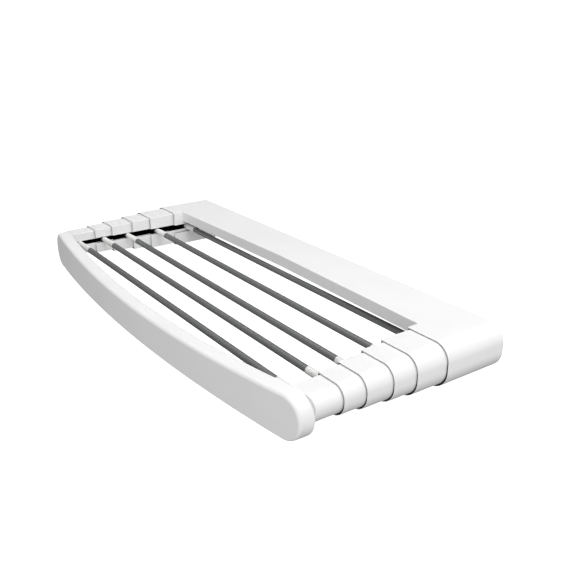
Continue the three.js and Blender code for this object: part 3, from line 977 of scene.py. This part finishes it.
show(make_front_bar(), "stage_5", "bar_white", "front_bar")
show(make_back_panel(), "stage_5", "bar_white", "front_bar_back")
for name, _ in SIDES:
    dress_bracket(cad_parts[f"{name}_bracket"])

bar_back = bow(FRONT_SCREWS[0][0], BAR_DEPTH)
shank = bar_back - BRACKET_BACK + FRONT_SCREW_REACH
front_screw = screw_pattern("front_screw_pattern", shank, **FOUR_MM_SCREW)
spots = [(side * x, z) for _, side in SIDES for x, z in FRONT_SCREWS]
for i, (x, z) in enumerate(spots, 1):
    where = spot(x, BRACKET_BACK - GAP, z)
    screw = place_screw(front_screw, f"front_screw_{i}_turned", where, (0, 1, 0))
    show(screw, "stage_5", "screw_zinc", f"front_screw_{i}")

for pattern in (wall_screw, tab_screw, front_screw):
    bpy.data.objects.remove(pattern)


# ---- floor, light and camera, in metres --------------------------------------------------

FLOOR_HEIGHT = -2.0
FLOOR_HALF = 2000.0  # far enough for its edge to lie on the horizon
RACK_MIDDLE = (0.0, -0.22, 0.0)
# name, place, diameter and watts
LIGHTS = (
    ("key_right", (1.6, -0.6, 2.4), 1.6, 28.5),
    ("top_left", (-1.2, -0.3, 2.4), 1.6, 20.1),
    ("top_middle", (0.0, -0.2, 2.4), 1.6, 7.8),
    ("near_right", (1.5, 0.3, 1.2), 1.0, 4.4),
    ("top_back", (0.5, 1.6, 2.0), 1.6, 15.5),
)
# directions from which the light all round comes, and strengths
SKY_TOWARDS = (((1, 0, 0), 0.67), ((0, -1, 0), 0.66))
# the camera was fitted to the photo's corners, seams and rod ends; its angles are in degrees
CAMERA_PLACE = (1.18191, -0.93023, 0.54524)
CAMERA_DOWN = 21.242
CAMERA_TURN = 54.791
CAMERA_LENS = 47.39


def make_floor():
    corners = ((-1, -1), (1, -1), (1, 1), (-1, 1))
    points = [Vector((x * FLOOR_HALF, y * FLOOR_HALF, FLOOR_HEIGHT)) for x, y in corners]
    shell = Shell()
    shell.face(shell.ring(points))
    floor = paint(solid(shell, "floor"), FLOOR_PALE)
    floor.visible_diffuse = False
    floor.visible_glossy = False
    return floor


def area_light(name, where, size, watts):
    """A round lamp that shines at the middle of the rack."""
    data = bpy.data.lights.new(name, "AREA")
    data.shape = "DISK"
    data.size = size
    data.energy = watts
    light = link(name, data)
    light.location = where
    light.rotation_mode = "QUATERNION"
    aim = Vector(RACK_MIDDLE) - Vector(where)
    light.rotation_quaternion = aim.to_track_quat("-Z", "Y")


def math_node(tree, operation, first, second):
    """One step of arithmetic on two values, each a number or another node's output."""
    node = tree.nodes.new("ShaderNodeMath")
    node.operation = operation
    for value, socket in zip((first, second), node.inputs):
        if isinstance(value, float):
            socket.default_value = value
        else:
            tree.links.new(value, socket)
    return node.outputs["Value"]


def studio_world(towards):
    """Light that grows evenly towards some directions, each with a strength. The camera sees it
    as plain white."""
    world = bpy.data.worlds.new("studio")
    world.use_nodes = True
    tree = world.node_tree
    around = tree.nodes.new("ShaderNodeTexCoord").outputs["Generated"]
    total = 0.0
    for direction, strength in towards:
        dot = tree.nodes.new("ShaderNodeVectorMath")
        dot.operation = "DOT_PRODUCT"
        dot.inputs[1].default_value = Vector(direction) * strength
        tree.links.new(around, dot.inputs[0])
        share = math_node(tree, "MAXIMUM", dot.outputs["Value"], 0.0)
        total = math_node(tree, "ADD", total, share)
    seen = tree.nodes.new("ShaderNodeLightPath").outputs["Is Camera Ray"]
    colour = math_node(tree, "MAXIMUM", total, seen)
    tree.links.new(colour, tree.nodes["Background"].inputs["Color"])
    return world


def make_camera():
    data = bpy.data.cameras.new("camera")
    data.sensor_width = 36.0
    data.lens = CAMERA_LENS
    data.clip_start = 0.01
    data.clip_end = 2.5 * FLOOR_HALF
    camera = link("camera", data)
    camera.location = CAMERA_PLACE
    camera.rotation_euler = (math.radians(90 - CAMERA_DOWN), 0.0, math.radians(CAMERA_TURN))
    return camera


make_floor()
for light in LIGHTS:
    area_light(*light)
scene = bpy.context.scene
scene.world = studio_world(SKY_TOWARDS)
scene.view_settings.view_transform = "Standard"
scene.camera = make_camera()
